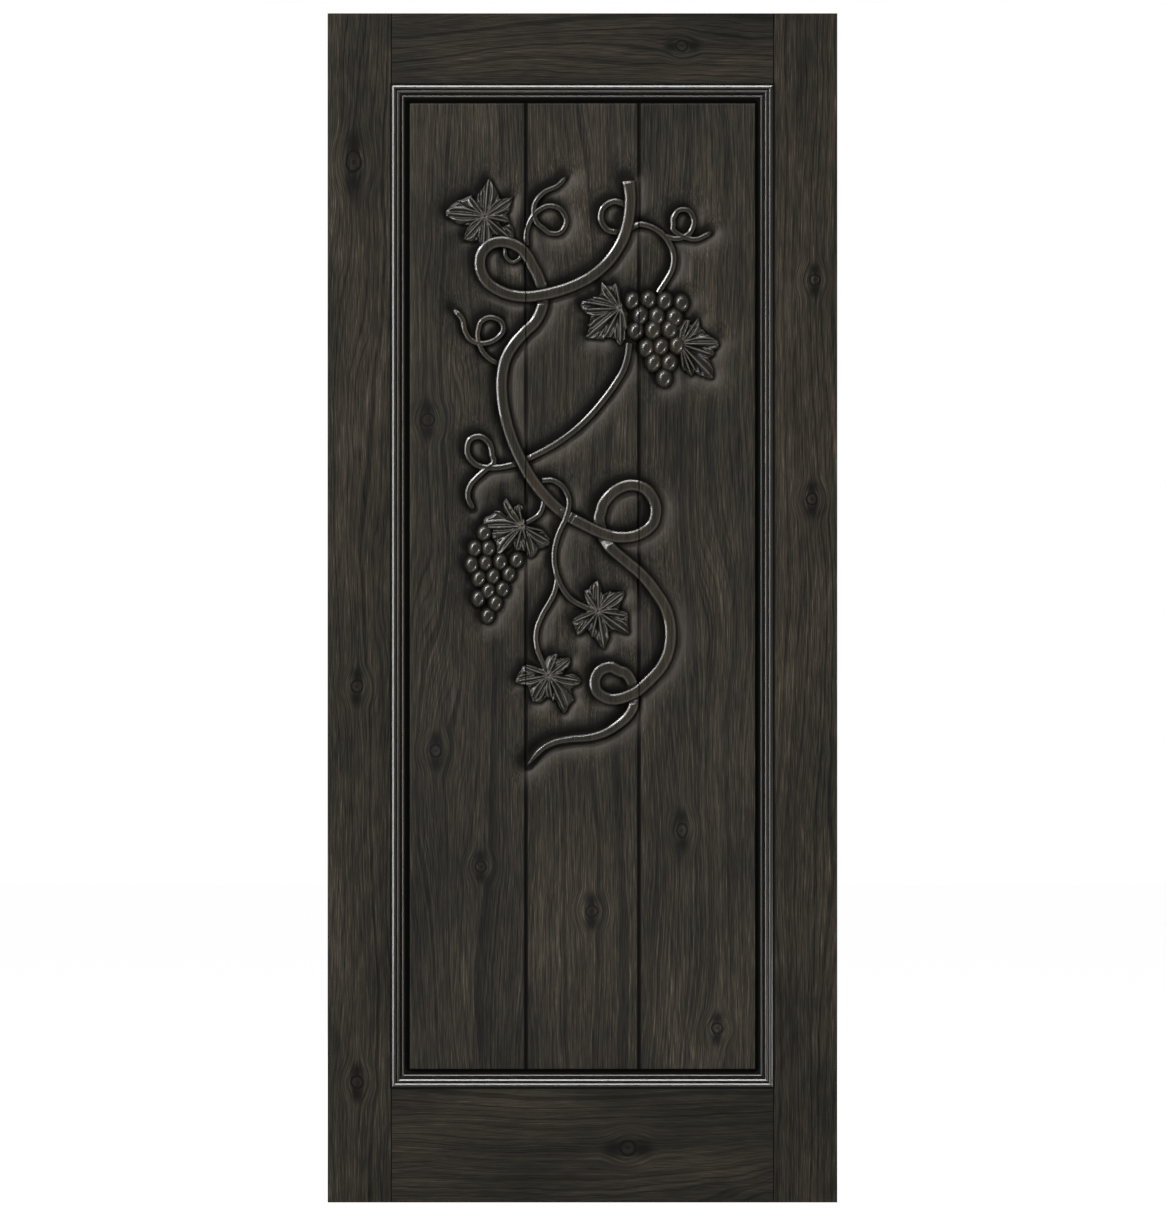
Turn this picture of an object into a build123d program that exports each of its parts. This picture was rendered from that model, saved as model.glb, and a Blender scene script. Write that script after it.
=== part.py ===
from build123d import *
import math
import os

# A wine cellar door leaf of stained alder: two stiles and two rails round a panel of three
# tongued and grooved boards, mitred mouldings on both sides, and a carved grapevine in front.
# Millimetres. X runs across the door from the hinge edge, Z up from the bottom edge, and the
# carved front faces -Y. Y is zero in the middle of the door's thickness.

os.makedirs("parts", exist_ok=True)

# Door leaf
door_width = 914.4
door_height = 2133.6
door_thickness = 44.45

# Stiles and rails
stile_width = 114.3
top_rail_width = 128.0
bottom_rail_width = 206.0
groove_depth = 12.0  # panel groove along the inner edges
tenon_length = 60.0  # beyond the groove
tenon_setback = 18.0  # shoulder above and below a tenon
mortise_clearance = 1.5  # room past the tenon's end
edge_ease = 0.8

# Panel of three boards
plank_thickness = 25.4
panel_tongue_thickness = 12.7  # thin border of the panel, in the frame's groove
expansion_gap = 3.0  # between the panel's border and the bottom of the groove
middle_plank_width = 203.0
joint_bevel = 3.0  # each side of a V-groove between two boards
board_tongue_length = 8.0
board_tongue_thickness = 8.0
board_tongue_clearance = 0.5

# Moulding
moulding_width = 23.5
moulding_proud = 5.3  # how far it stands out past the stiles
channel_width = 9.5  # sunk channel between moulding and boards
bead_end_share = 0.36  # of the moulding's width, from its outer edge
dip_share = 0.41
cove_start_share = 0.67
cove_end_share = 0.82
bead_end_drop = 3.6  # below the moulding's highest line
dip_drop = 4.8
second_bead_drop = 3.2
cove_start_drop = 6.2
cove_middle_drop = 8.8
cove_end_drop = 9.8
inner_bead_drop = 8.2

# Carved vine
stem_width = 21.0
stem_height = 11.0
tip_width = 13.0
tendril_width = 9.6
branch_width = 11.4
curl_width = 6.4
tendril_height = 7.0
corner_cut = 0.25  # of a run of a stem's line, taken off at each of its corners
shoulder_share = 0.62  # of a stem's height, below its sloped shoulders
crown_share = 0.5  # of a stem's width, above them
leaf_rim = 3.0
leaf_height = 8.0
leaf_crown_share = 0.4  # of a lobe's length and width
lobe_shoulder_share = 0.5  # of a lobe's length, where it is widest
lobe_root_share = 0.12  # of a lobe's length, that it starts behind the hub
upper_grape_radius = 15.4
lower_grape_radius = 13.6
grape_length_share = 1.15  # of its width
grape_sink = 2.2  # how far a grape's centre lies under the boards' face
grape_facets = 8
grape_bands = (30, 55, 75)  # degrees up a grape from its middle
crossing_gap = 0.5  # carved line beside a stem, leaf or grape that lies over another
joint_slot = 1.8  # the boards' joints run on through the carving

# Levels and lines that the pieces share
stile_face = door_thickness / 2
plank_face = plank_thickness / 2
panel_tongue_face = panel_tongue_thickness / 2
moulding_depth = stile_face + moulding_proud - panel_tongue_face
opening_left = stile_width
opening_right = door_width - stile_width
opening_bottom = bottom_rail_width
opening_top = door_height - top_rail_width
opening_width = opening_right - opening_left
opening_height = opening_top - opening_bottom
centre_x = door_width / 2
centre_z = (opening_bottom + opening_top) / 2
panel_reach = groove_depth - expansion_gap
field_inset = moulding_width + channel_width
field_width = opening_width - 2 * field_inset
field_height = opening_height - 2 * field_inset
field_top = opening_top - field_inset
left_joint = centre_x - middle_plank_width / 2
right_joint = centre_x + middle_plank_width / 2
front_ground = Plane.XZ.offset(plank_face)


def hand_in(piece, name):
    """Name a finished piece and write it."""
    piece.label = name
    export_step(piece, f"parts/{name}.step")


def ease_faces(piece):
    """Take the sharp edge off the front and back faces."""
    by_depth = piece.faces().sort_by(Axis.Y)
    chamfer(by_depth[0].edges() + by_depth[-1].edges(), length=edge_ease)


# Stiles: grooved along the inner edge for the panel, with a mortise for each rail
rail_spans = {
    "top_rail": (opening_top, door_height),
    "bottom_rail": (0, opening_bottom),
}
with BuildPart() as left_stile:
    with Locations((stile_width / 2, 0, door_height / 2)):
        Box(stile_width, door_thickness, door_height)
    ease_faces(left_stile)
    with Locations((stile_width - groove_depth / 2, 0, door_height / 2)):
        Box(groove_depth, panel_tongue_thickness, door_height, mode=Mode.SUBTRACT)
    for rail_bottom, rail_top in rail_spans.values():
        mortise_depth = groove_depth + tenon_length + mortise_clearance
        mortise_height = rail_top - rail_bottom - 2 * tenon_setback
        with Locations((stile_width - mortise_depth / 2, 0, (rail_bottom + rail_top) / 2)):
            Box(mortise_depth, panel_tongue_thickness, mortise_height, mode=Mode.SUBTRACT)
hand_in(left_stile.part, "left_stile")

middle_plane = Plane.YZ.offset(centre_x)
with BuildPart() as right_stile:
    add(mirror(left_stile.part, about=middle_plane, mode=Mode.PRIVATE))
hand_in(right_stile.part, "right_stile")

# Rails: a stub fills the stiles' groove, and a longer tenon goes on into each mortise
for rail_name, (rail_bottom, rail_top) in rail_spans.items():
    rail_width = rail_top - rail_bottom
    rail_z = (rail_bottom + rail_top) / 2
    inner_edge_z = opening_top if rail_name == "top_rail" else opening_bottom
    toward_rail = 1 if rail_name == "top_rail" else -1
    with BuildPart() as rail:
        with Locations((centre_x, 0, rail_z)):
            Box(opening_width, door_thickness, rail_width)
        ease_faces(rail)
        with Locations((centre_x, 0, rail_z)):
            Box(opening_width + 2 * groove_depth, panel_tongue_thickness, rail_width)
            Box(
                opening_width + 2 * (groove_depth + tenon_length),
                panel_tongue_thickness,
                rail_width - 2 * tenon_setback,
            )
        with Locations((centre_x, 0, inner_edge_z + toward_rail * groove_depth / 2)):
            Box(
                opening_width + 2 * groove_depth,
                panel_tongue_thickness,
                groove_depth,
                mode=Mode.SUBTRACT,
            )
    hand_in(rail.part, rail_name)

# Boards: beveled to a V where they meet, tongued on the right and grooved on the left
panel_left = opening_left - panel_reach
panel_right = opening_right + panel_reach
panel_height = opening_height + 2 * panel_reach
board_spans = {
    "left_plank": (panel_left, left_joint),
    "middle_plank": (left_joint, right_joint),
    "right_plank": (right_joint, panel_right),
}
for plank_name, (plank_left, plank_right) in board_spans.items():
    with BuildPart() as plank:
        with Locations(((plank_left + plank_right) / 2, 0, centre_z)):
            Box(plank_right - plank_left, plank_thickness, panel_height)
        upright = plank.edges().filter_by(Axis.Z)
        if plank_name != "left_plank":
            chamfer(upright.group_by(Axis.X)[0], length=joint_bevel)
            slot_depth = board_tongue_length + board_tongue_clearance
            with Locations((plank_left + slot_depth / 2, 0, centre_z)):
                Box(slot_depth, board_tongue_thickness, panel_height, mode=Mode.SUBTRACT)
        if plank_name != "right_plank":
            chamfer(upright.group_by(Axis.X)[-1], length=joint_bevel)
            with Locations((plank_right + board_tongue_length / 2, 0, centre_z)):
                Box(board_tongue_length, board_tongue_thickness, panel_height)
        for side in (1, -1):
            with BuildSketch(Plane.XZ.offset(side * panel_tongue_face)):
                with Locations((centre_x, centre_z)):
                    Rectangle(panel_right - panel_left, panel_height)
                    Rectangle(field_width, field_height, mode=Mode.SUBTRACT)
            extrude(amount=side * (plank_face - panel_tongue_face), mode=Mode.SUBTRACT)
    hand_in(plank.part, plank_name)

# Mouldings: two beads, a cove and a small inner bead, mitred at the corners
opening_corners = [
    (opening_left, opening_top),
    (opening_left, opening_bottom),
    (opening_right, opening_bottom),
    (opening_right, opening_top),
]


def make_moulding(start, end):
    """One length of moulding, with the panel on the left hand going from start to end."""
    along = (Vector(*end) - Vector(*start)).normalized()
    inward = Vector(-along.Y, along.X)
    section_plane = Plane(
        origin=(start[0], -panel_tongue_face, start[1]),
        x_dir=(inward.X, 0, inward.Y),
        z_dir=(along.X, 0, along.Y),
    )
    bead_start = (0, moulding_depth - dip_drop)
    bead_end = (bead_end_share * moulding_width, moulding_depth - bead_end_drop)
    dip = (dip_share * moulding_width, moulding_depth - dip_drop)
    cove_start = (cove_start_share * moulding_width, moulding_depth - cove_start_drop)
    cove_end = (cove_end_share * moulding_width, moulding_depth - cove_end_drop)
    inner_end = (moulding_width, moulding_depth - cove_end_drop)
    with BuildPart() as moulding:
        with BuildSketch(section_plane):
            with BuildLine():
                Line((0, 0), bead_start)
                ThreePointArc(bead_start, (bead_end[0] / 2, moulding_depth), bead_end)
                Line(bead_end, dip)
                second_bead_top = ((dip[0] + cove_start[0]) / 2, moulding_depth - second_bead_drop)
                ThreePointArc(dip, second_bead_top, cove_start)
                cove_middle = ((cove_start[0] + cove_end[0]) / 2, moulding_depth - cove_middle_drop)
                ThreePointArc(cove_start, cove_middle, cove_end)
                inner_top = ((cove_end[0] + moulding_width) / 2, moulding_depth - inner_bead_drop)
                ThreePointArc(cove_end, inner_top, inner_end)
                Polyline(inner_end, (moulding_width, 0), (0, 0))
            make_face()
        extrude(amount=(Vector(*end) - Vector(*start)).length)
        with BuildSketch(Plane.XZ):
            with BuildLine():
                mitred_end = Vector(*end) + (inward - along) * moulding_width
                mitred_start = Vector(*start) + (inward + along) * moulding_width
                Polyline(start, end, mitred_end, mitred_start, close=True)
            make_face()
        extrude(amount=door_thickness, both=True, mode=Mode.INTERSECT)
    return moulding.part


for index, side_name in enumerate(("left", "bottom", "right", "top")):
    corner = opening_corners[index]
    next_corner = opening_corners[(index + 1) % 4]
    front_moulding = make_moulding(corner, next_corner)
    hand_in(front_moulding, f"front_{side_name}_moulding")
    back_moulding = mirror(front_moulding, about=Plane.XZ)
    hand_in(back_moulding, f"back_{side_name}_moulding")


# Carved vine. Its points are measured across from the middle of the panel and down from the
# top of the boards' face.
def on_panel(across, down):
    return Vector(centre_x + across, field_top - down)


def raise_outlines(*levels):
    """A solid through outlines with as many corners each, at their heights on the boards' face."""
    rings = [
        [(point.X, -plank_face - height, point.Y) for point in points] for height, points in levels
    ]
    flats = [rings[0], rings[-1]]
    for low, high in zip(rings, rings[1:]):
        for corner, (low_corner, high_corner) in enumerate(zip(low, high)):
            flats.append([low[corner - 1], low_corner, high_corner])
            flats.append([low[corner - 1], high_corner, high[corner - 1]])
    return Solid(Shell([Face(Wire.make_polygon(flat)) for flat in flats]))


def stem_outline(points, start_width, end_width):
    """Both sides of a stem, whose line runs through its points with the corners cut off."""
    corners = [on_panel(*point) for point in points]
    line = [corners[0]]
    for before, corner, after in zip(corners, corners[1:], corners[2:]):
        line.append(corner + (before - corner) * corner_cut)
        line.append(corner + (after - corner) * corner_cut)
    line.append(corners[-1])
    ways = [(after - before).normalized() for before, after in zip(line, line[1:])]
    left_side = []
    right_side = []
    for number, (place, way_in, way_out) in enumerate(zip(line, ways[:1] + ways, ways + ways[-1:])):
        width = start_width + (end_width - start_width) * number / len(ways)
        way = (way_in + way_out).normalized()
        mitre = Vector(-way.Y, way.X) * (width / 2 / way.dot(way_out))
        left_side.append(place + mitre)
        right_side.append(place - mitre)
    return left_side + right_side[::-1]


def make_strand(points, start_width, end_width, height):
    """A carved stem with sloped shoulders, standing on the boards' face."""
    sides = stem_outline(points, start_width, end_width)
    crown = stem_outline(points, start_width * crown_share, end_width * crown_share)
    return raise_outlines((0, sides), (shoulder_share * height, sides), (height, crown))


def strand_clearance(points, start_width, end_width):
    """The space that a stem keeps free where it lies over another piece."""
    sides = stem_outline(points, start_width + 2 * crossing_gap, end_width + 2 * crossing_gap)
    return raise_outlines((0, sides), (door_thickness, sides))


# Each stem: its strands, the first one on top, its widths, its height and what lies over it
stems = {
    "upper_vine_stem": (
        [
            [(83, 140), (86, 172), (83, 206), (75, 237), (60, 266), (40, 291), (14, 312)]
            + [(-15, 327), (-44, 337), (-74, 344), (-105, 347), (-138, 341), (-168, 324)]
            + [(-183, 298), (-181, 270), (-163, 252), (-138, 249), (-113, 259), (-98, 276)]
            + [(-90, 291)],
        ],
        stem_width, stem_width, stem_height, [],
    ),
    "middle_vine_stem": (
        [
            [(-90, 291), (-80, 310), (-72, 335), (-72, 364), (-84, 391), (-104, 411)]
            + [(-124, 434), (-139, 462), (-145, 496), (-144, 530), (-138, 566), (-124, 610)]
            + [(-100, 660), (-74, 697), (-38, 733), (2, 756), (42, 774), (72, 779)]
            + [(103, 773), (127, 753), (131, 722), (115, 694), (86, 685), (58, 696)]
            + [(38, 718), (33, 734)],
        ],
        stem_width, stem_width, stem_height, ["upper_vine_stem", "leaf_branch"],
    ),
    "lower_vine_stem": (
        [
            [(33, 734), (30, 744), (34, 768), (49, 796), (78, 822), (107, 847), (130, 875)]
            + [(150, 908), (158, 944), (155, 981), (142, 1011), (119, 1037), (92, 1059)]
            + [(57, 1070), (30, 1060), (22, 1040), (30, 1020), (49, 1012), (66, 1019)],
        ],
        stem_width, stem_width, stem_height, ["middle_vine_stem"],
    ),
    "vine_stem_tip": (
        [
            [(66, 1019), (80, 1025), (90, 1045), (92, 1078), (82, 1099), (63, 1116)]
            + [(40, 1130), (12, 1138), (-22, 1141), (-52, 1147), (-77, 1162), (-99, 1188)],
        ],
        stem_width, tip_width, stem_height, ["lower_vine_stem"],
    ),
    "upper_left_tendril": (
        [
            [(-100, 255), (-101, 234), (-94, 211), (-81, 194), (-61, 184), (-40, 190)]
            + [(-29, 211), (-39, 231), (-58, 233), (-72, 223)],
            [(-72, 223), (-82, 214), (-88, 196), (-84, 176), (-68, 159), (-45, 148), (-29, 132)],
        ],
        tendril_width, tendril_width, tendril_height, ["upper_vine_stem"],
    ),
    "upper_grape_stalk": (
        [
            [(80, 183), (57, 176), (37, 188), (33, 209), (45, 227), (66, 231), (86, 224)]
            + [(104, 217), (128, 224), (150, 242), (163, 270), (160, 300), (136, 340)],
        ],
        branch_width, branch_width, tendril_height, ["upper_vine_stem", "upper_grape_bunch"],
    ),
    "right_tendril": (
        [
            [(146, 238), (170, 243), (192, 233), (200, 212), (191, 193), (173, 192)]
            + [(163, 206), (163, 217)],
            [(163, 217), (163, 227), (178, 238), (204, 244), (232, 231)],
        ],
        tendril_width, tendril_width, tendril_height, ["upper_grape_stalk"],
    ),
    "left_tendril": (
        [
            [(-231, 370), (-216, 387), (-211, 408), (-200, 425), (-180, 431), (-158, 425)]
            + [(-143, 409), (-146, 392), (-165, 384), (-181, 391), (-186, 402)],
            [(-186, 402), (-188, 420), (-180, 444), (-162, 462), (-138, 470)],
        ],
        tendril_width, tendril_width, tendril_height, ["middle_vine_stem"],
    ),
    "long_branch": (
        [
            [(84, 431), (80, 458), (68, 489), (34, 537), (-4, 578), (-46, 610), (-86, 632)]
            + [(-124, 648), (-158, 654), (-188, 650), (-206, 630), (-203, 605), (-184, 598)]
            + [(-167, 611), (-162, 632)],
            [(-162, 632), (-160, 646), (-177, 660), (-200, 683), (-206, 706), (-196, 729)],
        ],
        branch_width, tendril_width, tendril_height,
        ["middle_vine_stem", "upper_grape_bunch", "upper_bunch_left_leaf"],
    ),
    "lower_grape_stalk": (
        [[(-70, 700), (-70, 718), (-78, 738), (-101, 753)]],
        tendril_width, tendril_width, tendril_height, ["middle_vine_stem", "lower_bunch_leaf"],
    ),
    "leaf_branch": (
        [
            [(-72, 677), (-53, 677), (-34, 690), (-24, 714), (-30, 744), (-44, 775)]
            + [(-51, 806), (-49, 836), (-39, 865), (-18, 892), (22, 912)],
        ],
        tendril_width, tendril_width, tendril_height, ["middle_leaf"],
    ),
    "bottom_leaf_stalk": (
        [[(-44, 850), (-52, 882), (-72, 918), (-83, 948), (-81, 980), (-64, 1020)]],
        tendril_width, tendril_width, tendril_height, ["leaf_branch", "bottom_leaf"],
    ),
    "inner_curl": (
        [[(-139, 256), (-138, 274), (-126, 285), (-113, 278), (-109, 264)]],
        curl_width, curl_width, tendril_height, ["upper_vine_stem"],
    ),
}

# Each leaf: its hub, the tip and width of each lobe, and what lies over it
leaves = {
    "top_left_leaf": (
        (-172, 205),
        [(-170, 135, 38), (-124, 167, 34), (-130, 214, 24), (-128, 244, 22), (-179, 264, 24)]
        + [(-214, 244, 32), (-246, 194, 34), (-200, 165, 26)],
        ["upper_vine_stem"],
    ),
    "upper_bunch_left_leaf": (
        (62, 370),
        [(36, 319, 28), (62, 323, 26), (0, 352, 32), (4, 378, 26), (5, 418, 30), (37, 423, 30)]
        + [(69, 434, 24), (78, 405, 22)],
        ["upper_grape_bunch"],
    ),
    "upper_bunch_right_leaf": (
        (182, 431),
        [(190, 389, 20), (208, 384, 22), (244, 429, 32), (238, 452, 28), (234, 494, 34)]
        + [(196, 490, 26), (180, 480, 18)],
        ["upper_grape_bunch"],
    ),
    "lower_bunch_leaf": (
        (-108, 759),
        [(-138, 706, 20), (-114, 719, 20), (-178, 748, 38), (-150, 814, 30), (-119, 806, 24)]
        + [(-93, 818, 24), (-58, 785, 34), (-66, 766, 20)],
        [],
    ),
    "middle_leaf": (
        (28, 912),
        [(28, 856, 32), (4, 873, 20), (75, 875, 34), (82, 922, 28), (84, 952, 32)]
        + [(39, 980, 34), (16, 958, 18), (-8, 954, 26), (-19, 933, 20)],
        [],
    ),
    "bottom_leaf": (
        (-62, 1026),
        [(-44, 988, 26), (-22, 995, 26), (-1, 1037, 30), (-31, 1095, 36), (-58, 1070, 18)]
        + [(-88, 1075, 28), (-121, 1038, 38), (-106, 1011, 22)],
        [],
    ),
}

# Each bunch: its grapes' radius and middles, and what lies over it
bunches = {
    "upper_grape_bunch": (
        upper_grape_radius,
        [(90, 354), (119, 352), (148, 355), (178, 358), (104, 381), (134, 382), (165, 384)]
        + [(96, 408), (127, 407), (157, 406), (115, 439), (141, 437), (170, 434)]
        + [(128, 465), (156, 465), (147, 493)],
        [],
    ),
    "lower_grape_bunch": (
        lower_grape_radius,
        [(-177, 771), (-193, 799), (-169, 799), (-199, 828), (-174, 825), (-147, 823)]
        + [(-118, 820), (-186, 853), (-160, 849), (-132, 845), (-169, 875), (-143, 872)]
        + [(-187, 889), (-156, 897), (-170, 920)],
        ["lower_bunch_leaf"],
    ),
}


def lobe_corners(hub, tip, width):
    """A lobe is a kite from just behind the hub to its tip."""
    start = on_panel(*hub)
    reach = on_panel(*tip) - start
    across = Vector(-reach.Y, reach.X).normalized() * width / 2
    shoulder = start + reach * lobe_shoulder_share
    root = start - reach * lobe_root_share
    return [root, shoulder + across, start + reach, shoulder - across]


def grape_outline(radius):
    """Outline of a grape at the top of the panel, a little longer than it is wide."""
    turn = 2 * math.pi / grape_facets
    return [
        on_panel(math.cos(side * turn) * radius, math.sin(side * turn) * grape_length_share * radius)
        for side in range(grape_facets)
    ]


def bunch_places(middles):
    """Where a grape at the top of the panel goes for each grape in the bunch."""
    return Locations(*[(across, 0, -down) for across, down in middles])


def piece_clearance(name):
    """The space that the named stem, leaf or bunch keeps free above what it lies over."""
    with BuildPart() as clearance:
        if name in stems:
            strands, start_width, end_width = stems[name][:3]
            add([strand_clearance(points, start_width, end_width) for points in strands])
        elif name in leaves:
            hub, lobes = leaves[name][:2]
            for tip_across, tip_down, width in lobes:
                with BuildSketch(front_ground):
                    with BuildLine():
                        Polyline(*lobe_corners(hub, (tip_across, tip_down), width), close=True)
                    make_face()
                    offset(amount=crossing_gap, kind=Kind.INTERSECTION)
            extrude(amount=door_thickness)
        else:
            radius, middles = bunches[name][:2]
            outline = grape_outline(radius + crossing_gap)
            with bunch_places(middles):
                add(raise_outlines((0, outline), (door_thickness, outline)))
    return clearance.part


carved_tables = (stems, leaves, bunches)
all_overlying = {name for table in carved_tables for row in table.values() for name in row[-1]}
clearances = {name: piece_clearance(name) for name in sorted(all_overlying)}


def cut_free(overlying):
    """Cut away what lies over the piece in hand, and the line of each joint in the boards."""
    for name in overlying:
        add(clearances[name], mode=Mode.SUBTRACT)
    with Locations((left_joint, 0, centre_z), (right_joint, 0, centre_z)):
        Box(joint_slot, 4 * door_thickness, door_height, mode=Mode.SUBTRACT)


for stem_name, (strands, start_width, end_width, height, overlying) in stems.items():
    with BuildPart() as stem:
        for points in reversed(strands):
            if stem.part is not None:
                add(strand_clearance(points, start_width, end_width), mode=Mode.SUBTRACT)
            add(make_strand(points, start_width, end_width, height))
        cut_free(overlying)
    hand_in(stem.part, stem_name)

for leaf_name, (hub, lobes, overlying) in leaves.items():
    raised_lobes = []
    for tip_across, tip_down, width in lobes:
        corners = lobe_corners(hub, (tip_across, tip_down), width)
        middle = (corners[0] + corners[2]) / 2
        crown = [middle + (corner - middle) * leaf_crown_share for corner in corners]
        raised_lobes.append(raise_outlines((0, corners), (leaf_rim, corners), (leaf_height, crown)))
    with BuildPart() as leaf:
        add(raised_lobes)
        cut_free(overlying)
    hand_in(leaf.part, leaf_name)

for bunch_name, (radius, middles, overlying) in bunches.items():
    levels = [(0, grape_outline(radius))]
    for angle in grape_bands:
        rise = radius * math.sin(math.radians(angle)) - grape_sink
        levels.append((rise, grape_outline(radius * math.cos(math.radians(angle)))))
    grape = raise_outlines(*levels)
    with BuildPart() as bunch:
        with bunch_places(middles):
            add(grape)
        cut_free(overlying)
    hand_in(bunch.part, bunch_name)
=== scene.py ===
import math
import random

import bmesh
import bpy
import numpy as np
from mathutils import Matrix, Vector, geometry


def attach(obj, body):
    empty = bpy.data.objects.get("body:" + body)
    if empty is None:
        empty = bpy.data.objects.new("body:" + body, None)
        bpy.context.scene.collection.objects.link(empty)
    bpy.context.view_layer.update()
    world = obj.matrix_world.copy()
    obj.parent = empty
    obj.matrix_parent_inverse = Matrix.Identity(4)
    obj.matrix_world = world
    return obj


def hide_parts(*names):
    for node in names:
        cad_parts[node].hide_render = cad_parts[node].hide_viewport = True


# The looks of a wine cellar door: three boards with a sunk ground, a carved grapevine in front,
# mouldings on both sides, all of knotty alder under a charcoal stain.
# Lengths in the tables are millimetres, and MM turns them into metres.
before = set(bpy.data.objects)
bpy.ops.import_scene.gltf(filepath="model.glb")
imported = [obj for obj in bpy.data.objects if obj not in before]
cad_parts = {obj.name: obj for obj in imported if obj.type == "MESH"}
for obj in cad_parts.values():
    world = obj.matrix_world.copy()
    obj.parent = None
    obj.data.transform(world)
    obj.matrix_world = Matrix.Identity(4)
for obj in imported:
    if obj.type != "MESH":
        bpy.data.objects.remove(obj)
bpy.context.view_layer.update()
MM = 0.001
rng = random.Random(4)

# Sizes shared with the part
opening_left, opening_right = 114.3, 800.1
opening_bottom, opening_top = 206.0, 2005.6
plank_face = 12.7
tongue_face = 6.35
moulding_width = 23.5
field_inset = 33.0
channel_width = field_inset - moulding_width
field_left, field_right = opening_left + field_inset, opening_right - field_inset
field_bottom, field_top = opening_bottom + field_inset, opening_top - field_inset
centre_x = (opening_left + opening_right) / 2
joints_x = (355.7, 558.7)
joint_bevel = 3.0
joint_slot = 1.8
panel_reach = 9.0

skirt = 10.5  # how far carved pieces reach below the boards' face


def on_panel(point):
    """From across and down on the panel to the door's X and Z."""
    return centre_x + point[0], field_top - point[1]


def tone(red, green, blue):
    """A colour written as it shows on a screen, 0 to 255."""
    linear = [c / 255 / 12.92 if c < 10 else ((c / 255 + 0.055) / 1.055) ** 2.4
              for c in (red, green, blue)]
    return (*linear, 1)


class Nodes:
    """Short calls for building a node tree."""

    def __init__(self, tree):
        self.tree = tree

    def add(self, kind, **settings):
        node = self.tree.nodes.new(kind)
        for key, value in settings.items():
            setattr(node, key, value)
        return node

    def put(self, value, socket):
        if isinstance(value, bpy.types.NodeSocket):
            self.tree.links.new(value, socket)
        else:
            socket.default_value = value

    def fill(self, node, *values):
        """Puts the values into the node's first inputs, in order, and gives its first output."""
        for value, socket in zip(values, node.inputs):
            self.put(value, socket)
        return node.outputs[0]

    def math(self, operation, *values, clamp=False):
        return self.fill(self.add("ShaderNodeMath", operation=operation, use_clamp=clamp), *values)

    def times(self, first, second):
        return self.math("MULTIPLY", first, second)

    def plus(self, first, second):
        return self.math("ADD", first, second)

    def minus(self, first, second):
        return self.math("SUBTRACT", first, second)

    def scaled(self, value, factor, offset):
        return self.math("MULTIPLY_ADD", value, factor, offset)

    def combine(self, x, y, z):
        return self.fill(self.add("ShaderNodeCombineXYZ"), x, y, z)

    def length(self, x, y):
        node = self.add("ShaderNodeVectorMath", operation="LENGTH")
        self.fill(node, self.combine(x, y, 0.0))
        return node.outputs["Value"]

    def attribute(self, name):
        return self.add("ShaderNodeAttribute", attribute_name=name).outputs["Fac"]

    def noise(self, place, scale=1.0, detail=2.0, roughness=0.5, line=False):
        """Noise over places in space, or along a line where place is one number."""
        node = self.add("ShaderNodeTexNoise", noise_dimensions="1D" if line else "3D")
        self.put(place, node.inputs["W" if line else "Vector"])
        for label, value in (("Scale", scale), ("Detail", detail), ("Roughness", roughness)):
            node.inputs[label].default_value = value
        return node.outputs[0]

    def remap(self, value, low, high, to_low=0.0, to_high=1.0, smooth=True):
        kind = "SMOOTHSTEP" if smooth else "LINEAR"
        node = self.add("ShaderNodeMapRange", interpolation_type=kind)
        return self.fill(node, value, low, high, to_low, to_high)

    def ramp(self, value, stops):
        node = self.add("ShaderNodeValToRGB")
        elements = node.color_ramp.elements
        while len(elements) < len(stops):
            elements.new(0.5)
        for element, (position, colour) in zip(elements, stops):
            element.position = position
            element.color = colour
        return self.fill(node, value)

    def tint(self, colour, where, share, shown):
        """Turns the colour toward the shown one by a share of how strongly a place is marked."""
        node = self.add("ShaderNodeMix", data_type="RGBA")
        factor, first, second = (node.inputs[index] for index in (0, 6, 7))
        self.put(self.times(where, share), factor)
        self.put(colour, first)
        self.put(tone(*shown), second)
        return node.outputs[2]

    def seen(self):
        """1 where the camera looks, straight or by way of metal or glass."""
        rays = self.add("ShaderNodeLightPath").outputs
        bent = self.math("MAXIMUM", rays["Is Glossy Ray"], rays["Is Transmission Ray"])
        return self.math("MAXIMUM", rays["Is Camera Ray"], bent)


class Material(Nodes):
    """The nodes of a new material, with its shader and output."""

    def __init__(self, name):
        self.material = bpy.data.materials.new(name)
        self.material.use_nodes = True
        super().__init__(self.material.node_tree)
        self.shader = self.tree.nodes["Principled BSDF"]
        self.output = self.tree.nodes["Material Output"]


# Waves of noise in a metre: across the grain, through the wood and along the grain
slow_waves, ripple_waves, cloud_waves = (5.0, 5.0, 1.1), (22.0, 1.0, 13.0), (9.0, 1.0, 3.0)
fibre_waves, pore_waves = (1000.0, 1000.0, 22.0), (1900.0, 1900.0, 130.0)
band_waves, contour_waves, knot_waves = 120.0, 150.0, 90.0
# Levels of grey along the stain's scale, and how far each kind of figure moves a place on it
stain_levels = ((0.0, 7), (0.3, 24), (0.5, 35), (0.7, 47), (1.0, 76))
stain_start, band_share, cloud_share, contour_share, pore_share = 0.31, 0.4, 0.8, 0.22, 0.22
# darkest marks knot rims and is the colour of painted shade in hollows and creases; the pale one is
# painted highlight, with some wear
darkest, highlight_and_wear_colour = (5, 4, 3), (132, 125, 116)
beyond_knots = 9.0  # knot radii


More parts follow.
